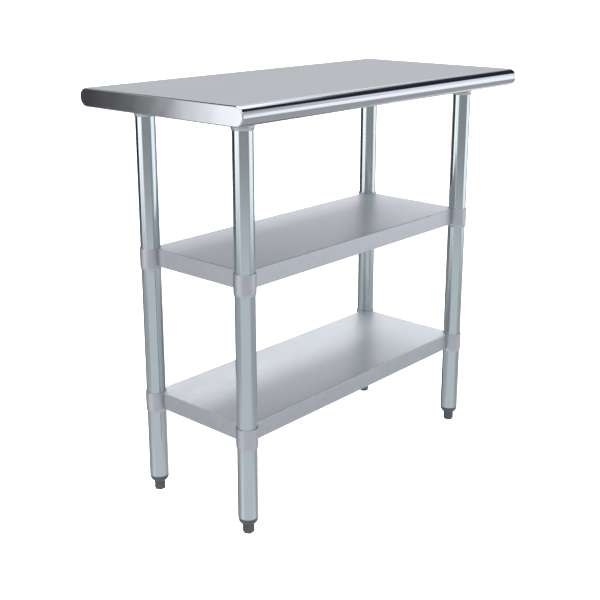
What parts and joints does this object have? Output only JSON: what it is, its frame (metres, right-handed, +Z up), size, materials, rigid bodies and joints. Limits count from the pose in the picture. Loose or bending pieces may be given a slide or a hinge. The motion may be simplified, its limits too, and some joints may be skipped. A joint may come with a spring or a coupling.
{
  "type": "stainless work table",
  "caption": "Work table with a rolled-edge stainless top on round legs, two undershelves that slide and lock on the legs, and screw-in levelling feet.",
  "frame": {"origin": "on the floor, under the middle of the top", "axes": "+X along the table's length, -Y to the front, +Z up"},
  "size_m": [0.9144, 0.4572, 0.889],
  "materials": {
    "stainless": "satin stainless sheet with a fine lengthwise grain, brighter on the rolled edges",
    "galvanised_sheet": "smooth galvanised sheet with a soft satin sheen",
    "galvanised_tube": "galvanised tube, faintly blue-green, with a satin gloss",
    "cast_collar": "satin grey die casting",
    "steel_screw": "zinc-plated fastener",
    "foot_plastic": "dark grey moulded plastic"
  },
  "bodies": {
    "frame": {"top_sheet": "stainless", "cross_channel_left": "galvanised_sheet", "cross_channel_right": "galvanised_sheet", "long_channel": "galvanised_sheet", "gusset_front_left": "cast_collar", "set_screw_gusset_front_left": "steel_screw", "gusset_screw_front_left_inner": "steel_screw", "gusset_screw_front_left_outer": "steel_screw", "leg_front_left": "galvanised_tube", "foot_insert_front_left": "foot_plastic", "gusset_front_right": "cast_collar", "set_screw_gusset_front_right": "steel_screw", "gusset_screw_front_right_inner": "steel_screw", "gusset_screw_front_right_outer": "steel_screw", "leg_front_right": "galvanised_tube", "foot_insert_front_right": "foot_plastic", "gusset_back_left": "cast_collar", "set_screw_gusset_back_left": "steel_screw", "gusset_screw_back_left_inner": "steel_screw", "gusset_screw_back_left_outer": "steel_screw", "leg_back_left": "galvanised_tube", "foot_insert_back_left": "foot_plastic", "gusset_back_right": "cast_collar", "set_screw_gusset_back_right": "steel_screw", "gusset_screw_back_right_inner": "steel_screw", "gusset_screw_back_right_outer": "steel_screw", "leg_back_right": "galvanised_tube", "foot_insert_back_right": "foot_plastic"},
    "middle_shelf": {"shelf_middle": "galvanised_sheet", "collar_middle_front_left": "cast_collar", "set_screw_middle_front_left": "steel_screw", "collar_middle_front_right": "cast_collar", "set_screw_middle_front_right": "steel_screw", "collar_middle_back_left": "cast_collar", "set_screw_middle_back_left": "steel_screw", "collar_middle_back_right": "cast_collar", "set_screw_middle_back_right": "steel_screw"},
    "lower_shelf": {"shelf_lower": "galvanised_sheet", "collar_lower_front_left": "cast_collar", "set_screw_lower_front_left": "steel_screw", "collar_lower_front_right": "cast_collar", "set_screw_lower_front_right": "steel_screw", "collar_lower_back_left": "cast_collar", "set_screw_lower_back_left": "steel_screw", "collar_lower_back_right": "cast_collar", "set_screw_lower_back_right": "steel_screw"},
    "front_left_stem": {"foot_stem_front_left": "steel_screw"},
    "front_left_foot": {"foot_front_left": "foot_plastic"},
    "front_right_stem": {"foot_stem_front_right": "steel_screw"},
    "front_right_foot": {"foot_front_right": "foot_plastic"},
    "back_left_stem": {"foot_stem_back_left": "steel_screw"},
    "back_left_foot": {"foot_back_left": "foot_plastic"},
    "back_right_stem": {"foot_stem_back_right": "steel_screw"},
    "back_right_foot": {"foot_back_right": "foot_plastic"}
  },
  "joints": [
    {"name": "middle_shelf_slide", "type": "slide", "parent": "frame", "child": "middle_shelf", "axis": [0, 0, 1], "range_m": [-0.1, 0.22]},
    {"name": "lower_shelf_slide", "type": "slide", "parent": "frame", "child": "lower_shelf", "axis": [0, 0, 1], "range_m": [-0.12, 0.15]},
    {"name": "front_left_foot_travel", "type": "slide", "parent": "frame", "child": "front_left_stem", "axis": [0, 0, -1], "range_m": [0, 0.025]},
    {"name": "front_left_foot_turn", "type": "hinge", "parent": "front_left_stem", "child": "front_left_foot", "pos_m": [-0.3669, -0.1381, 0.01], "axis": [0, 0, -1], "range_deg": [0, 6000]},
    {"name": "front_right_foot_travel", "type": "slide", "parent": "frame", "child": "front_right_stem", "axis": [0, 0, -1], "range_m": [0, 0.025]},
    {"name": "front_right_foot_turn", "type": "hinge", "parent": "front_right_stem", "child": "front_right_foot", "pos_m": [0.3669, -0.1381, 0.01], "axis": [0, 0, -1], "range_deg": [0, 6000]},
    {"name": "back_left_foot_travel", "type": "slide", "parent": "frame", "child": "back_left_stem", "axis": [0, 0, -1], "range_m": [0, 0.025]},
    {"name": "back_left_foot_turn", "type": "hinge", "parent": "back_left_stem", "child": "back_left_foot", "pos_m": [-0.3669, 0.1381, 0.01], "axis": [0, 0, -1], "range_deg": [0, 6000]},
    {"name": "back_right_foot_travel", "type": "slide", "parent": "frame", "child": "back_right_stem", "axis": [0, 0, -1], "range_m": [0, 0.025]},
    {"name": "back_right_foot_turn", "type": "hinge", "parent": "back_right_stem", "child": "back_right_foot", "pos_m": [0.3669, 0.1381, 0.01], "axis": [0, 0, -1], "range_deg": [0, 6000]}
  ],
  "couplings": [
    {"joint": "front_left_foot_turn", "follows": "front_left_foot_travel", "rad_per_m": 4188.8},
    {"joint": "front_right_foot_turn", "follows": "front_right_foot_travel", "rad_per_m": 4188.8},
    {"joint": "back_left_foot_turn", "follows": "back_left_foot_travel", "rad_per_m": 4188.8},
    {"joint": "back_right_foot_turn", "follows": "back_right_foot_travel", "rad_per_m": 4188.8}
  ]
}
